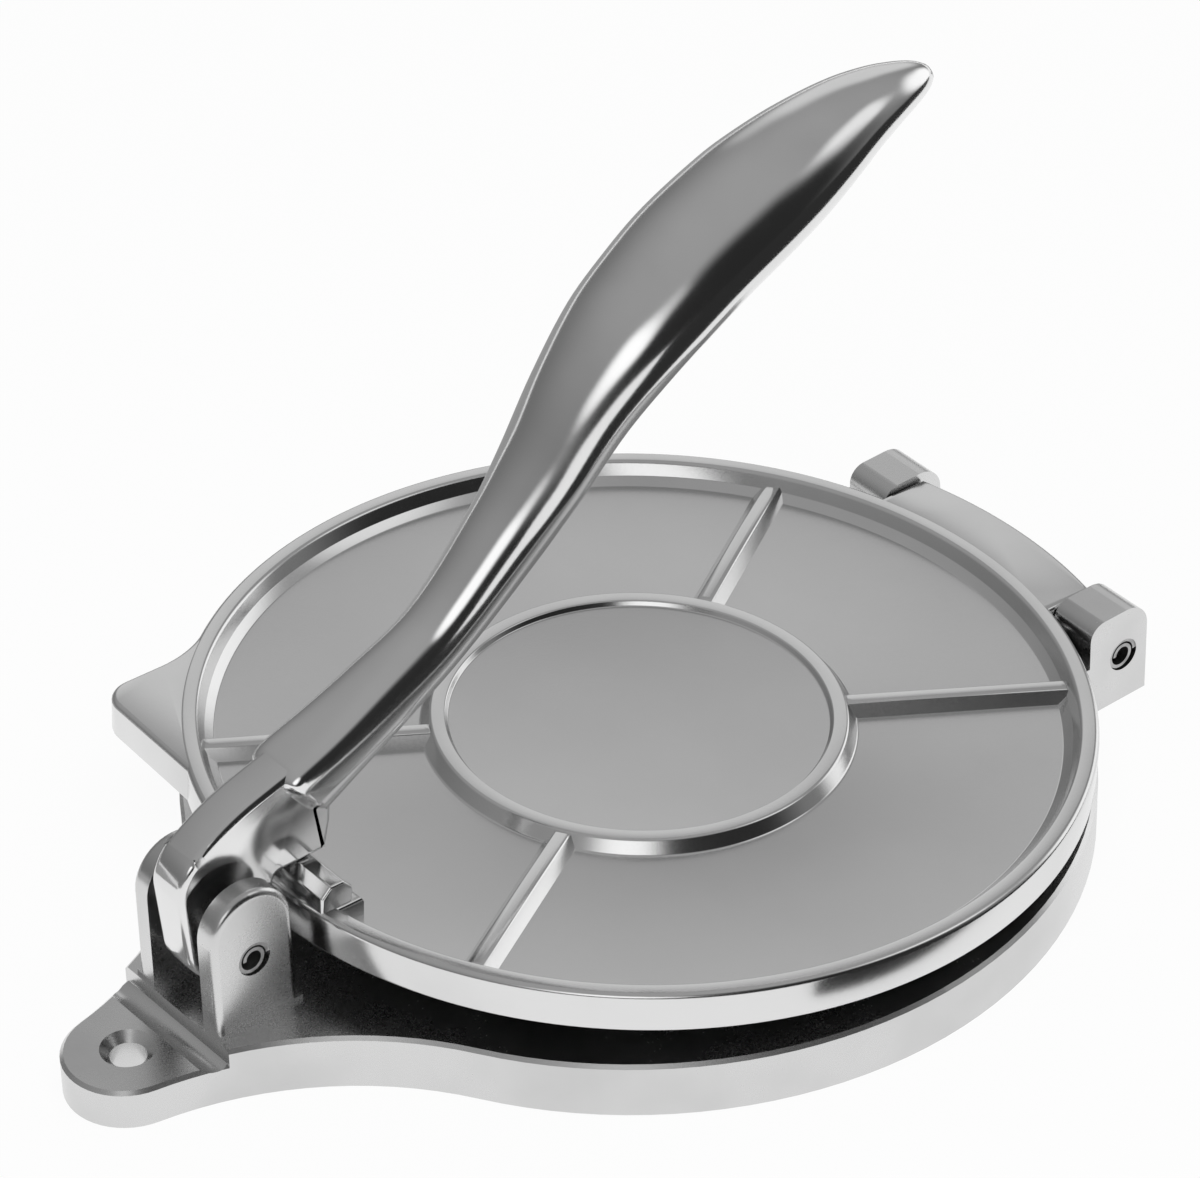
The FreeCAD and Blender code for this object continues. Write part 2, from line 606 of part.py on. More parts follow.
def neck_and_grip(s):
    """The handle beyond its heel, lofted through the sections in LEVER_SHARES."""
    reach, rise = s["lever_reach"].value, s["lever_rise"].value
    places = [FreeCAD.Vector(0, row[0] * reach, row[1] * rise) for row in LEVER_SHARES]
    wires = []
    for count, (_, _, width_share, depth_share, power) in enumerate(LEVER_SHARES):
        run = places[min(count + 1, len(places) - 1)] - places[max(count - 1, 0)]
        half_width = width_share * s["grip_half_width"].value
        half_depth = depth_share * s["grip_half_depth"].value
        wires.append(section_wire(places[count], run.normalize(), half_width, half_depth, power))
    return Part.makeLoft(wires, True, True)


def corner_arc(start, end, next_middle):
    """The arc that ends smoothly in another arc, whose centre is given."""
    inward = (next_middle - end).normalize()
    chord = start - end
    middle = end + inward * (chord.dot(chord) / (2 * inward.dot(chord)))
    outward = ((start + end) * 0.5 - middle).normalize()
    return Part.Arc(start, middle + outward * (start - middle).Length, end)


def heel(s):
    """Flat-sided heel: round under its pin, cam face behind, curved top running into the neck."""
    reach, rise = s["lever_reach"].value, s["lever_rise"].value
    radius = s["heel_bottom_radius"].value
    half = s["heel_thickness"].value / 2

    def place(y, z):
        return FreeCAD.Vector(-half, y, z)

    def on_bottom(degrees):
        return place(radius * math.cos(math.radians(degrees)), radius * math.sin(math.radians(degrees)))

    top = [place(along * reach, up * rise) for along, up in HEEL_TOP_SHARES]
    back = [place(along * reach, up * rise) for along, up in HEEL_BACK_SHARES]
    from_pin = FreeCAD.Vector(0, top[0].y, top[0].z)
    front_angle = math.degrees(math.atan2(from_pin.z, from_pin.y) + math.acos(radius / from_pin.Length))
    notch = s["cam_notch"].value
    corners = [on_bottom(notch), place(s["cam_start"].value, s["cam_height"].value),
               place(s["cam_end"].value, s["cam_height"].value)] + back + [top[-1]]
    edges = [Part.Arc(on_bottom(front_angle), on_bottom((front_angle + 360 + notch) / 2),
                      on_bottom(notch)).toShape()]
    edges += [Part.LineSegment(a, b).toShape() for a, b in zip(corners[:-1], corners[1:])]
    crown = Part.Arc(*top[1:]).toShape()
    edges += [crown, corner_arc(top[0], top[1], crown.Curve.Center).toShape(),
              Part.LineSegment(top[0], on_bottom(front_angle)).toShape()]
    outline = Part.Wire(Part.__sortEdges__(edges))
    block = Part.Face(outline).extrude(FreeCAD.Vector(2 * half, 0, 0))
    return block.makeFillet(s["heel_round"].value, [edge for edge in block.Edges if at_x(edge, half)])


def make_lever(doc, s):
    """Handle casting, drawn about its pin as it stands at rest."""
    width = s["heel_thickness"].value + 2 * s["overrun"].value
    bore = Part.makeCylinder(s["pin_radius"].value + s["pin_clearance"].value, width,
                             FreeCAD.Vector(-width / 2, 0, 0), FreeCAD.Vector(1, 0, 0))
    feature = doc.addObject("Part::Feature", "lever")
    feature.Label = "lever"
    feature.Shape = heel(s).fuse(neck_and_grip(s)).cut(bore)
    feature.Placement = FreeCAD.Placement(
        FreeCAD.Vector(0, -s["lever_pin_place"].value, s["lever_pin_height"].value), FreeCAD.Rotation())
    return feature


def draw_coil(sketch, s):
    """Section of a coiled pin: a strip rolled in half circles that step inwards each half turn."""
    wall, step = s["coil_wall"], s["coil_wall"] + s["coil_gap"]

    def ends(start):
        """Where the curve that starts at this radius crosses the sketch's axis, half turn by half turn."""
        return [(start - step * (count // 2)) * (1 if count % 2 == 0 else -1)
                for count in range(COIL_HALF_TURNS + 1)]

    curves = []
    for start in (s["pin_radius"], s["pin_radius"] - wall):
        crossings = ends(start)
        row = []
        for count, (a, b) in enumerate(zip(crossings[:-1], crossings[1:])):
            middle = FreeCAD.Vector((a.value + b.value) / 2, 0, 0)
            circle = Part.Circle(middle, FreeCAD.Vector(0, 0, 1), abs(a.value - b.value) / 2)
            first = math.pi * (count % 2)
            curve = sketch.addGeometry(Part.ArcOfCircle(circle, first, first + math.pi), False)
            sketch.addConstraint(Sketcher.Constraint("PointOnObject", curve, 3, -1))
            pin_point(sketch, curve, 1, a, ZERO)
            if row:
                sketch.addConstraint(Sketcher.Constraint("Coincident", row[-1], 2, curve, 1))
            row.append(curve)
        pin_point(sketch, row[-1], 2, crossings[-1], ZERO)
        curves.append((row, crossings))
    (outer, outer_ends), (inner, inner_ends) = curves
    for end, a, b, first, second in ((1, outer_ends[0], inner_ends[0], outer[0], inner[0]),
                                     (2, outer_ends[-1], inner_ends[-1], outer[-1], inner[-1])):
        line = Part.LineSegment(FreeCAD.Vector(a.value, 0, 0), FreeCAD.Vector(b.value, 0, 0))
        cap = sketch.addGeometry(line, False)
        sketch.addConstraint(Sketcher.Constraint("Coincident", first, end, cap, 1))
        sketch.addConstraint(Sketcher.Constraint("Coincident", second, end, cap, 2))


def make_pin(doc, s, name, length, across, along, up):
    """A coiled spring pin lying along X, with its middle at the given place."""
    body = doc.addObject("PartDesign::Body", name)
    body.Label = name
    coil = new_sketch(body, name + "_coil", "YZ_Plane")
    draw_coil(coil, s)
    new_feature(body, "Pad", name + "_roll", coil, length, symmetric=True)
    middle = FreeCAD.Vector(across.value, along.value, up.value)
    body.Placement = FreeCAD.Placement(middle, FreeCAD.Rotation())
    for letter, size in (("x", across), ("y", along), ("z", up)):
        if size is not ZERO:
            body.setExpression("Placement.Base." + letter, size.text)
    return body


def make_pins(doc, s):
    ear_face = s["heel_thickness"] / 2 + s["heel_clearance"] + s["ear_thickness"]
    hinge_face = s["leaf_width"] / 2 + s["leaf_clearance"] + s["hinge_ear_thickness"]
    middle = hinge_face - s["pin_recess"] - s["hinge_pin_length"] / 2
    lever_pin = make_pin(doc, s, "lever_pin", (ear_face - s["pin_recess"]) * 2,
                         ZERO, -s["lever_pin_place"], s["lever_pin_height"])
    hinge_pins = [make_pin(doc, s, name, s["hinge_pin_length"], across, s["hinge_place"], s["hinge_height"])
                  for name, across in (("right_hinge_pin", middle), ("left_hinge_pin", -middle))]
    return [lever_pin] + hinge_pins


def check(doc, pieces):
    """Stop before anything is written if a feature failed or a piece isn't one sound solid."""
    failed = [thing.Label for thing in doc.Objects if "Invalid" in thing.State or "Error" in thing.State]
    if failed:
        raise RuntimeError("failed features: " + ", ".join(failed))
    for piece in pieces:
        shape = piece.Shape
        if shape.isNull() or not shape.isValid() or len(shape.Solids) != 1:
            raise RuntimeError(piece.Label + " is not one valid solid")
        print("%-16s volume %9.1f  faces %3d" % (piece.Label, shape.Volume, len(shape.Faces)))


def main():
    doc = FreeCAD.newDocument("tortilla_press")
    s = make_sheet(doc)
    pieces = [make_base(doc, s), make_top_plate(doc, s), make_lever(doc, s)] + make_pins(doc, s)
    doc.recompute()
    check(doc, pieces)
    os.makedirs("parts", exist_ok=True)
    for piece in pieces:
        piece.Shape.exportStep("parts/%s.step" % piece.Label)


main()
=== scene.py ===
import math

import bmesh
import bpy
from mathutils import Matrix, Vector


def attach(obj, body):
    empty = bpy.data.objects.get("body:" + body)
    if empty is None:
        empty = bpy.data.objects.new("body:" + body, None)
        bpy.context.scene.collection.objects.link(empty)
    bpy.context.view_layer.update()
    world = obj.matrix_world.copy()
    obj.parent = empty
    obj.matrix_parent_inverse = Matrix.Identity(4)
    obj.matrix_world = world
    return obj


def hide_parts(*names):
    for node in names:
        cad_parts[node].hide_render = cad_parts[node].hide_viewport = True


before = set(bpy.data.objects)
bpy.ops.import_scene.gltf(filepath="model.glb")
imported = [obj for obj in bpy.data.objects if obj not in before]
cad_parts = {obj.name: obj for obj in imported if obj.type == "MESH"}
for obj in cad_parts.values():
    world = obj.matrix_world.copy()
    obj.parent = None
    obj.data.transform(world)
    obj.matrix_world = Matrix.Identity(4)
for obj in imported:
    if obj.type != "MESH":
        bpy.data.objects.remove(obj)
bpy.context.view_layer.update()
print("frame loaded:", ", ".join(sorted(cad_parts)))


class Shader:  # a node tree in which one call makes any node
    def __init__(self, tree):
        self.tree = tree
        tree.nodes.clear()

    def node(self, kind, settings=None, sockets=None, output=0):
        node = self.tree.nodes.new("ShaderNode" + kind)
        for name, value in (settings or {}).items():
            setattr(node, name, value)
        for name, value in (sockets or {}).items():
            if isinstance(value, Flow):
                self.tree.links.new(value.socket, node.inputs[name])
            else:
                node.inputs[name].default_value = value
        return Flow(self, node.outputs[output]) if node.outputs else None


class Flow:  # a shader socket that Python's own signs can add, subtract and multiply
    def __init__(self, shader, socket):
        self.shader = shader
        self.socket = socket

    def combine(self, operation, first, second):
        return self.shader.node("Math", {"operation": operation}, {0: first, 1: second})

    def __add__(self, other):
        return self.combine("ADD", self, other)

    __radd__ = __add__

    def __sub__(self, other):
        return self.combine("SUBTRACT", self, other)

    def __rsub__(self, other):
        return self.combine("SUBTRACT", other, self)

    def __mul__(self, other):
        return self.combine("MULTIPLY", self, other)

    __rmul__ = __mul__

    def step(self, low, high):  # 0 below low, 1 above high, smooth between
        return self.shader.node("MapRange", {"interpolation_type": "SMOOTHSTEP"}, {
            "Value": self, "From Min": low, "From Max": high})


def newMaterial(name):
    material = bpy.data.materials.new(name)
    material.use_nodes = True
    return material, Shader(material.node_tree)


def grey(value):
    return (value, value, value, 1)


noiseDetail = {"cloud": 4, "grain": 3, "swell": 1}
cloudRange = (0.3, 0.7)  # where the cloud turns from the darker to the lighter tone


def makeMetal(name, look):
    material, shader = newMaterial(name)
    place = shader.node("TexCoord", output="Object")
    cloud, grain, swell = [shader.node("TexNoise", None, {
        "Vector": place, "Scale": look[kind + "Scale"], "Detail": noiseDetail[kind]})
        for kind in ("cloud", "grain", "swell")]
    tone = cloud.step(*cloudRange)
    colour = shader.node("Mix", {"data_type": "RGBA"}, {  # 6, 7 and 2 are its colour sockets
        "Factor": tone, 6: look["darker"], 7: look["lighter"]}, output=2)
    rough = look["rough"] + look["roughSpread"] * tone + look["grainRough"] * grain
    height = grain * look["grainHeight"] + swell * look["swellHeight"]
    bump = shader.node("Bump", None, {"Height": height, "Distance": 1.0, "Strength": 1.0})
    metal = shader.node("BsdfPrincipled", None, {
        "Base Color": colour, "Roughness": rough, "Metallic": 1.0, "Normal": bump})
    shader.node("OutputMaterial", None, {"Surface": metal})
    return material


# scales count noise waves in a metre, heights are in metres
polishedLook = {
    "darker": grey(0.72), "lighter": grey(0.82),
    "rough": 0.09, "roughSpread": 0.05, "grainRough": 0.04,
    "cloudScale": 22, "grainScale": 1400, "swellScale": 30,
    "grainHeight": 0.000002, "swellHeight": 0.00003,
}
buffedLook = {
    "darker": grey(0.66), "lighter": grey(0.76),
    "rough": 0.11, "roughSpread": 0.05, "grainRough": 0.06,
    "cloudScale": 18, "grainScale": 1500, "swellScale": 24,
    "grainHeight": 0.000004, "swellHeight": 0.00002,
}
castLook = {
    "darker": grey(0.60), "lighter": grey(0.70),
    "rough": 0.17, "roughSpread": 0.07, "grainRough": 0.08,
    "cloudScale": 26, "grainScale": 1500, "swellScale": 40,
    "grainHeight": 0.000006, "swellHeight": 0.00004,
}
satinLook = {
    "darker": grey(0.56), "lighter": grey(0.64),
    "rough": 0.16, "roughSpread": 0.05, "grainRough": 0.08,
    "cloudScale": 12, "grainScale": 1800, "swellScale": 18,
    "grainHeight": 0.000008, "swellHeight": 0.00002,
}
steelLook = {
    "darker": grey(0.30), "lighter": grey(0.55),
    "rough": 0.24, "roughSpread": 0.12, "grainRough": 0.10,
    "cloudScale": 300, "grainScale": 2500, "swellScale": 60,
    "grainHeight": 0.00001, "swellHeight": 0.0,
}
polished = makeMetal("polishedAluminium", polishedLook)
buffed = makeMetal("buffedAluminium", buffedLook)
cast = makeMetal("castAluminium", castLook)
satin = makeMetal("satinAluminium", satinLook)
steel = makeMetal("springSteel", steelLook)
print("materials made")


def dress(node, material):
    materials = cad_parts[node].data.materials
    materials.clear()
    materials.append(material)


dress("base", cast)
for node in ("lever_pin", "left_hinge_pin", "right_hinge_pin"):
    dress(node, steel)
print("nodes dressed")

mm = 0.001  # shapes are made in millimetres and brought to metres at the end
bevelSteps = 4
# brings an outline drawn in X and Y, and raised in Z, to Y and Z, raised in X
alongX = Matrix(((0, 0, 1, 0), (1, 0, 0, 0), (0, 1, 0, 0), (0, 0, 0, 1)))


def soften(corners, steps=5):  # outline points from corners of (x, y, rounding)
    points = []
    for place, (x, y, radius) in enumerate(corners):
        corner = Vector((x, y))
        if not radius:
            points.append(corner)
            continue
        before = (Vector(corners[place - 1][:2]) - corner).normalized()
        after = (Vector(corners[(place + 1) % len(corners)][:2]) - corner).normalized()
        half = before.angle(after) / 2
        middle = corner + (before + after).normalized() * (radius / math.sin(half))
        start, end = (corner + way * (radius / math.tan(half)) - middle for way in (before, after))
        points += [middle + start.lerp(end, step / steps).normalized() * radius
                   for step in range(steps + 1)]
    return points


def arc(middle, radius, start, end, steps):  # points of an arc, ends included
    turns = [math.radians(start + (end - start) * step / steps) for step in range(steps + 1)]
    return [Vector(middle) + Vector((math.cos(turn), math.sin(turn))) * radius for turn in turns]


def lathe(form, outline, steps):
    row = [form.verts.new((point.x, 0, point.y)) for point in outline]
    edges = [form.edges.new(pair) for pair in zip(row, row[1:])]
    bmesh.ops.spin(form, geom=row + edges, cent=(0, 0, 0), axis=(0, 0, 1), angle=math.tau,
                   steps=steps, use_merge=True)
    bmesh.ops.remove_doubles(form, verts=form.verts[:], dist=0.0001)


def slab(form, outline, heights, edge, bothEnds=True, place=None):  # a raised outline, rims rounded
    low, high = heights
    bottom = [form.verts.new((point[0], point[1], low)) for point in outline]
    raised = bmesh.ops.extrude_face_region(form, geom=[form.faces.new(bottom)])["geom"]
    top = [item for item in raised if isinstance(item, bmesh.types.BMVert)]
    bmesh.ops.translate(form, verts=top, vec=(0, 0, high - low))
    rims = [set(top), set(bottom)] if bothEnds else [set(top)]
    edges = [item for item in {join for point in top + bottom for join in point.link_edges}
             if any(set(item.verts) <= rim for rim in rims)]
    before = set(form.verts) - set(top) - set(bottom)
    bmesh.ops.bevel(form, geom=edges, offset=edge, segments=bevelSteps, profile=0.5,
                    affect="EDGES", material=-1, offset_type="OFFSET", loop_slide=True)
    if place:
        made = [point for point in form.verts if point not in before]
        bmesh.ops.transform(form, verts=made, matrix=place)


def finish(form, name, body, node, materials, matrix, smooth):
    bmesh.ops.recalc_face_normals(form, faces=form.faces[:])
    bmesh.ops.transform(form, verts=form.verts[:], matrix=Matrix.Scale(mm, 4) @ matrix)
    mesh = bpy.data.meshes.new(name)
    form.to_mesh(mesh)
    form.free()
    for material in materials:
        mesh.materials.append(material)
    mesh.shade_smooth()
    mesh.set_sharp_from_angle(angle=math.radians(smooth))
    piece = bpy.data.objects.new(name, mesh)
    bpy.context.scene.collection.objects.link(piece)
    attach(piece, body)
    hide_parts(node)
    print("%s made, %d faces" % (name, len(mesh.polygons)))


plate = {
    # the turned outline: underside, rim, wall, dish floor, ring and well, each corner
    # with its radius, height and rounding
    "outline": [
        (0, 13.7, 0), (100.0, 13.7, 0.8), (100.0, 23.1, 1.2), (96.0, 23.1, 1.1),
        (94.4, 20.1, 0.5), (92.4, 18.6, 0.6), (47.6, 18.6, 0.8), (45.5, 21.6, 0.9),
        (42.3, 21.6, 0.5), (41.6, 20.5, 0.4), (0, 20.5, 0)],
    "turns": 224, "radius": 100.0, "smooth": 35,
    "satinFrom": 14.7, "satinTo": 21.3, "level": 0.995,  # level faces between these are satin
    "ribs": (58.5, 121.5, 238.5, 299.4),  # degrees from +X
    "ribStart": 43.6, "ribEnd": 97.0, "ribFoot": 8.2, "ribCrest": 3.4,
    "ribLow": 18.1, "ribTop": 21.5, "ribLean": 2.4, "ribEdge": 1.0,
    # room that the rim leaves for the base's hinge ears: its radius round the hinge, and from
    # where to where it runs on either side
    "relief": 14.9, "reliefStart": 26.7, "reliefEnd": 41.0,
    "tabSide": 77.0, "tabFront": 89.0, "tabRound": 7.0, "tabHollow": 26.0,
    "tabRoot": 97.4, "tabRootStart": 249, "tabSteps": (18, 10, 24),
    "tabHeights": (13.72, 22.98), "tabEdge": 1.2,
    "leafHalf": 28.2, "leafReach": 112.0, "leafRoot": 97.2, "leafSteps": 24,
    "leafHeights": (13.73, 23.07), "leafEdge": 1.3,
    "hinge": (107.5, 12.4), "tilt": 2.85,
    "knuckle": 6.4, "knuckleSides": 48, "knuckleEdge": 0.4,
    "padHalf": 16.2, "padFront": -97.4, "padBack": -88.0, "padHeights": (18.2, 23.04),
    "padEdge": 1.2,
    "lugHalf": 15.5, "lugFront": -98.4, "lugBack": -90.2, "lugLow": 19.2, "lugTop": 29.0,
    "lugFacet": 2.4, "lugEdge": 0.7,
}


def addRib(form, p, turn):  # a bar with leaning sides and ends and a rounded crest
    made = bmesh.ops.create_cube(form, size=1)["verts"]
    before = set(form.verts) - set(made)
    for point in made:
        up = point.co.z > 0
        lean = p["ribLean"] if up else 0
        point.co.x = p["ribEnd"] - lean if point.co.x > 0 else p["ribStart"] + lean
        point.co.y = math.copysign((p["ribCrest"] if up else p["ribFoot"]) / 2, point.co.y)
        point.co.z = p["ribTop"] if up else p["ribLow"]
    middle = (p["ribTop"] + p["ribLow"]) / 2
    crest = [join for join in {item for point in made for item in point.link_edges}
             if all(point.co.z > middle for point in join.verts)]
    bmesh.ops.bevel(form, geom=crest, offset=p["ribEdge"], segments=bevelSteps, profile=0.5,
                    affect="EDGES", material=-1)
    bmesh.ops.rotate(form, verts=[point for point in form.verts if point not in before],
                     cent=(0, 0, 0), matrix=Matrix.Rotation(math.radians(turn), 3, "Z"))


def addTab(form, p):  # the finger tab, which a hollow curve joins to the rim on its far side
    hollowX = p["tabSide"] + p["tabHollow"]
    hollowY = math.sqrt((p["radius"] + p["tabHollow"]) ** 2 - hollowX ** 2)
    touch = math.degrees(math.atan2(hollowY, hollowX))
    tip = (p["tabRound"] - p["tabSide"], p["tabRound"] - p["tabFront"])
    hollowSteps, tipSteps, rootSteps = p["tabSteps"]
    tab = arc((-hollowX, -hollowY), p["tabHollow"], touch, 0, hollowSteps)
    tab += arc(tip, p["tabRound"], 180, 270, tipSteps)
    tab += arc((0, 0), p["tabRoot"], p["tabRootStart"], 180 + touch, rootSteps)
    slab(form, tab, p["tabHeights"], p["tabEdge"])


def addLeaf(form, p):  # the hinge leaf and its knuckle
    inner, outer = (math.degrees(math.asin(p["leafHalf"] / p[key]))
                    for key in ("leafRoot", "leafReach"))
    leaf = arc((0, 0), p["leafRoot"], 90 + inner, 90 - inner, p["leafSteps"])
    leaf += arc((0, 0), p["leafReach"], 90 - outer, 90 + outer, p["leafSteps"])
    slab(form, leaf, p["leafHeights"], p["leafEdge"])
    sides = p["knuckleSides"]
    knuckle = arc(p["hinge"], p["knuckle"], 0, 360 - 360 / sides, sides - 1)
    slab(form, knuckle, (-p["leafHalf"], p["leafHalf"]), p["knuckleEdge"], place=alongX)


def addLug(form, p):  # the press lug on its pad
    half, front, back = p["padHalf"], p["padFront"], p["padBack"]
    pad = [(-half, front), (half, front), (half, back), (-half, back)]
    slab(form, pad, p["padHeights"], p["padEdge"], bothEnds=False)
    front, back, low, top = p["lugFront"], p["lugBack"], p["lugLow"], p["lugTop"]
    facet, edge = p["lugFacet"], p["lugEdge"]
    lug = soften([(front, low, 0), (back, low, 0), (back, top - facet, edge),
                  (back - facet, top, edge), (front + facet, top, edge),
                  (front, top - facet, edge)])
    slab(form, lug, (-p["lugHalf"], p["lugHalf"]), edge, place=alongX)


def makePlate(p):
    form = bmesh.new()
    lathe(form, soften(p["outline"]), p["turns"])
    for face in form.faces:
        height = face.calc_center_median().z
        level = abs(face.normal.z) > p["level"]
        face.material_index = 1 if level and p["satinFrom"] < height < p["satinTo"] else 0
    for turn in p["ribs"]:
        addRib(form, p, turn)
    hinge = Vector(p["hinge"])
    for point in form.verts:  # presses the relief into the rim
        away = Vector(point.co.yz) - hinge
        if p["reliefStart"] < abs(point.co.x) < p["reliefEnd"] and away.length < p["relief"]:
            point.co.yz = hinge + away.normalized() * p["relief"]
    addTab(form, p)
    addLeaf(form, p)
    addLug(form, p)
    pivot = Matrix.Translation((0, *p["hinge"]))
    swing = pivot @ Matrix.Rotation(math.radians(-p["tilt"]), 4, "X") @ pivot.inverted()
    finish(form, "pressing_plate", "top_plate", "top_plate",
           (buffed, satin), swing, p["smooth"])


makePlate(plate)

handle = {
    "pin": (-114.2, 29.5), "reach": 197.4, "rise": 127.2, "halfWidth": 16.0, "halfDepth": 12.0,
    "ringPoints": 72, "between": 6, "smooth": 40,
    # from the heel to the tip, as parts of the four sizes above: along, up, half width and
    # half depth, and then the squareness of the section above and below
    "rows": [
        (0.102, 0.188, 0.31, 0.70, 4.0, 2.6), (0.106, 0.193, 0.34, 0.72, 4.3, 2.3),
        (0.1125, 0.2015, 0.495, 0.755, 4.6, 1.9), (0.118, 0.208, 0.535, 0.77, 4.6, 1.8),
        (0.168, 0.247, 0.53, 0.68, 3.6, 1.9), (0.224, 0.292, 0.51, 0.63, 2.8, 2.1),
        (0.306, 0.363, 0.49, 0.585, 2.2, 2.2), (0.401, 0.489, 0.575, 0.685, 2.1, 2.1),
        (0.455, 0.577, 0.69, 0.75, 2.0, 2.0), (0.510, 0.679, 0.80, 0.85, 2.0, 2.0),
        (0.567, 0.762, 0.93, 0.94, 2.0, 2.0), (0.617, 0.815, 0.98, 0.98, 2.0, 2.0),
        (0.669, 0.862, 1.00, 1.00, 2.0, 2.0), (0.743, 0.912, 0.98, 0.975, 2.0, 2.0),
        (0.785, 0.936, 0.93, 0.925, 2.0, 2.0), (0.831, 0.961, 0.83, 0.83, 2.0, 2.0),
        (0.884, 0.986, 0.67, 0.675, 2.0, 2.0), (0.927, 0.997, 0.525, 0.53, 2.0, 2.0),
        (0.962, 1.000, 0.38, 0.39, 2.0, 2.0), (0.985, 1.000, 0.25, 0.265, 2.0, 2.0),
        (0.997, 1.000, 0.13, 0.145, 2.0, 2.0)],
    "heelHalf": 5.2, "heelEdge": 1.7, "heelSteps": 8,
    "heelRadius": 10.2, "heelFront": 184.6, "heelNotch": 380.0, "heelArcSteps": 26,
    # the rest of the heel from the pin: along, up and rounding, where the first and the last
    # lie on the arc and only give directions
    "heelOutline": [
        (9.58, 3.49, 0), (13.4, 9.8, 1.2), (26.2, 9.8, 0.8), (27.9, 16.5, 6), (28.3, 20.6, 2),
        (28.3, 24.0, 2), (27.0, 31.0, 3), (22.3, 35.3, 1), (0.5, 29.1, 52), (-9.1, 22.0, 11),
        (-11.6, 16.8, 8), (-10.17, -0.8, 0)],
}


def smoothRows(rows, between):  # more rows on a smooth curve through the given ones
    items = range(len(rows[0]))
    places = [Vector((row[0], row[1])) for row in rows]
    runs = [0.0]
    for a, b in zip(places, places[1:]):
        runs.append(runs[-1] + (b - a).length)
    slopes = []
    for place in range(len(rows)):
        a, b = max(place - 1, 0), min(place + 1, len(rows) - 1)
        slopes.append([(rows[b][item] - rows[a][item]) / (runs[b] - runs[a]) for item in items])
    made = []
    for place in range(len(rows) - 1):
        length = runs[place + 1] - runs[place]
        for step in range(between):
            t = step / between
            start, startSlope = 2 * t ** 3 - 3 * t ** 2 + 1, (t ** 3 - 2 * t ** 2 + t) * length
            end, endSlope = 3 * t ** 2 - 2 * t ** 3, (t ** 3 - t ** 2) * length
            made.append([start * rows[place][item] + startSlope * slopes[place][item]
                         + end * rows[place + 1][item] + endSlope * slopes[place + 1][item]
                         for item in items])
    return made + [list(rows[-1])]


def makeHandle(h):
    form = bmesh.new()
    rows = smoothRows(h["rows"], h["between"])
    centres = [Vector((0, row[0] * h["reach"], row[1] * h["rise"])) for row in rows]
    rings = []
    for place, row in enumerate(rows):
        wide, deep, above, below = row[2:]
        run = centres[min(place + 2, len(rows) - 1)] - centres[max(place - 2, 0)]
        down = run.normalized().cross(Vector((1, 0, 0)))
        ring = bmesh.ops.create_circle(form, segments=h["ringPoints"], radius=1)["verts"]
        for point in ring:
            x, y = point.co.xy
            power = 2 / (below if y > 0 else above)
            aside = math.copysign(abs(x) ** power, x) * wide * h["halfWidth"]
            under = math.copysign(abs(y) ** power, y) * deep * h["halfDepth"]
            point.co = centres[place] + Vector((aside, 0, 0)) + down * under
        rings.append(ring)
    form.faces.new(rings[0])
    owner = {point: place for place, ring in enumerate(rings) for point in ring}
    loops = [[] for ring in rings]
    for join in form.edges:
        loops[owner[join.verts[0]]].append(join)
    for a, b in zip(loops, loops[1:]):
        bmesh.ops.bridge_loops(form, edges=a + b)
    bmesh.ops.pointmerge(form, verts=rings[-1], merge_co=(0, h["reach"], h["rise"]))
    heel = arc((0, 0), h["heelRadius"], h["heelFront"], h["heelNotch"], h["heelArcSteps"])
    heel += soften(h["heelOutline"], h["heelSteps"])[1:-1]
    slab(form, heel, (-h["heelHalf"], h["heelHalf"]), h["heelEdge"], place=alongX)
    finish(form, "handle", "lever", "lever", (polished,),
           Matrix.Translation((0, *h["pin"])), h["smooth"])


makeHandle(handle)

photo = {"width": 1200, "height": 1178}
cameraPlace = {
    "azimuth": 51.4, "elevation": 36.81, "roll": -1.47, "distance": 1.3077,  # degrees and metres
    "target": Vector((0, 0, 0.02)), "targetAt": (637.57, 738.43),  # and the pixel where it lies
    "focalPixels": 5995.0, "sensor": 36.0, "clipEnd": 20,
}


def makeCamera(place):
    a, e, roll = (math.radians(place[key]) for key in ("azimuth", "elevation", "roll"))
    back = Vector((math.sin(a) * math.cos(e), -math.cos(a) * math.cos(e), math.sin(e)))
    level = Vector((math.cos(a), math.sin(a), 0))
    upright = back.cross(level)
    right = level * math.cos(roll) + upright * math.sin(roll)
    up = upright * math.cos(roll) - level * math.sin(roll)
    scale = place["distance"] / place["focalPixels"]
    aside = (place["targetAt"][0] - photo["width"] / 2) * scale
    above = (photo["height"] / 2 - place["targetAt"][1]) * scale
    spot = place["target"] - right * aside - up * above + back * place["distance"]
    data = bpy.data.cameras.new("photoCamera")
    data.sensor_width = place["sensor"]
    data.lens = place["focalPixels"] * place["sensor"] / photo["width"]
    data.clip_end = place["clipEnd"]
    camera = bpy.data.objects.new("photoCamera", data)
    turned = Matrix((right, up, back)).transposed().to_4x4()
    camera.matrix_world = Matrix.Translation(spot) @ turned
    bpy.context.scene.collection.objects.link(camera)
    bpy.context.scene.camera = camera


makeCamera(cameraPlace)
print("camera set")


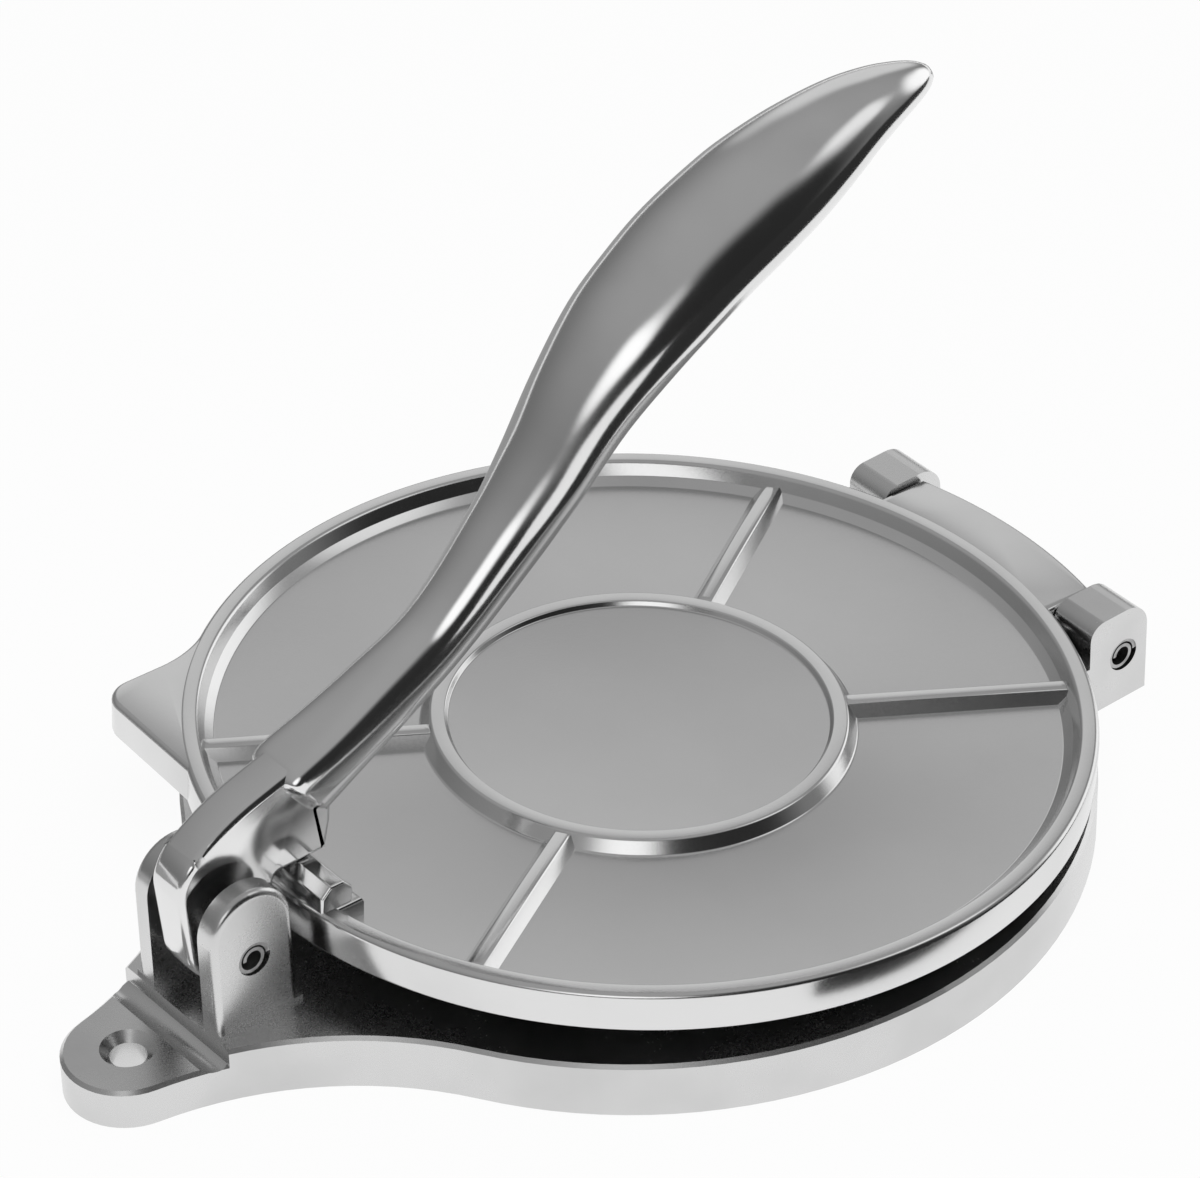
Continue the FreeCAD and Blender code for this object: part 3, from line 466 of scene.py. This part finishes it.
def makeSheet(name, corners, height, material):  # a flat sheet of the studio
    form = bmesh.new()
    bmesh.ops.create_grid(form, x_segments=1, y_segments=1, size=0.5)
    (left, front), (right, back) = corners
    middle = ((left + right) / 2, (front + back) / 2, height)
    bmesh.ops.scale(form, verts=form.verts[:], vec=(right - left, back - front, 1))
    bmesh.ops.translate(form, verts=form.verts[:], vec=middle)
    mesh = bpy.data.meshes.new(name)
    form.to_mesh(mesh)
    form.free()
    mesh.materials.append(material)
    sheet = bpy.data.objects.new(name, mesh)
    bpy.context.scene.collection.objects.link(sheet)
    return sheet


floorLook = {"half": 6.0, "colour": grey(0.86), "glow": 0.94}


def makeFloor(look):  # pale, and near white to the camera and in the metal
    material, shader = newMaterial("paleFloor")
    seen = [shader.node("LightPath", output=ray)
            for ray in ("Is Camera Ray", "Is Glossy Ray", "Is Transmission Ray")]
    matt = shader.node("BsdfDiffuse", None, {"Color": look["colour"]})
    glow = shader.node("Emission", None, {"Color": grey(1.0), "Strength": 1.0})
    mixed = shader.node("MixShader", None, {
        "Fac": (seen[0] + seen[1] + seen[2]) * look["glow"], 1: matt, 2: glow})
    shader.node("OutputMaterial", None, {"Surface": mixed})
    half = look["half"]
    floor = makeSheet("studioFloor", ((-half, -half), (half, half)), 0, material)


makeFloor(floorLook)

# dull cards on the floor beside the press, which only its polished metal sees
cardHeight = 0.001
cards = {
    "blackCard": {"corners": ((0.125, -0.03), (6.0, 6.0)), "level": 0.03},
    "greyCard": {"corners": ((-1.5, -0.8), (-0.14, 0.8)), "level": 0.36},
}


def makeCard(name, look):
    material, shader = newMaterial(name)
    glow = shader.node("Emission", None, {"Color": grey(1.0), "Strength": look["level"]})
    shader.node("OutputMaterial", None, {"Surface": glow})
    card = makeSheet(name, look["corners"], cardHeight, material)
    card.visible_camera = card.visible_diffuse = card.visible_shadow = False


for name, look in cards.items():
    makeCard(name, look)

# the room's brightness at the horizon and overhead, and soft zones on it: each one's azimuth from
# +Y towards +X and height, where it is full and where it ends (degrees from its middle), and
# its brightness
roomLevel = {"horizon": 0.20, "top": 0.38}
zones = [
    {"at": (-50, 20), "full": 12, "ends": 24, "level": 0.72},
    {"at": (2, 12), "full": 14, "ends": 26, "level": 1.2},
    {"at": (40, 45), "full": 7, "ends": 19, "level": 1.0},
    {"at": (86, 14), "full": 26, "ends": 50, "level": 0.025},
    {"at": (134, 32), "full": 8, "ends": 20, "level": 1.3},
]


def towards(azimuth, height):
    a, e = math.radians(azimuth), math.radians(height)
    return (math.sin(a) * math.cos(e), math.cos(a) * math.cos(e), math.sin(e))


def makeWorld():
    world = bpy.data.worlds.new("studio")
    bpy.context.scene.world = world
    world.use_nodes = True
    shader = Shader(world.node_tree)
    direction = shader.node("TexCoord", output="Generated")
    height = shader.node("SeparateXYZ", None, {"Vector": direction}, output="Z")
    rise = roomLevel["top"] - roomLevel["horizon"]
    level = height.step(0.0, 1.0) * rise + roomLevel["horizon"]
    for zone in zones:
        nearness = shader.node("VectorMath", {"operation": "DOT_PRODUCT"}, {
            0: direction, 1: towards(*zone["at"])}, output="Value")
        ends, full = (math.cos(math.radians(zone[key])) for key in ("ends", "full"))
        level = level + (zone["level"] - level) * nearness.step(ends, full)
    room = shader.node("Background", None, {"Color": grey(1.0), "Strength": level})
    shader.node("OutputWorld", None, {"Surface": room})


makeWorld()

lamp = {"at": (0.5, -0.3, 1.6), "size": 1.4, "power": 16}


def makeLamp(look):  # a broad lamp above, for the floor and its soft shadow
    data = bpy.data.lights.new("topLamp", "AREA")
    data.size = look["size"]
    data.energy = look["power"]
    piece = bpy.data.objects.new("topLamp", data)
    spot = Vector(look["at"])
    turned = spot.to_track_quat("Z", "Y").to_matrix().to_4x4()
    piece.matrix_world = Matrix.Translation(spot) @ turned
    piece.visible_glossy = False
    bpy.context.scene.collection.objects.link(piece)


makeLamp(lamp)
bpy.context.scene.view_settings.view_transform = "Standard"
print("studio made")
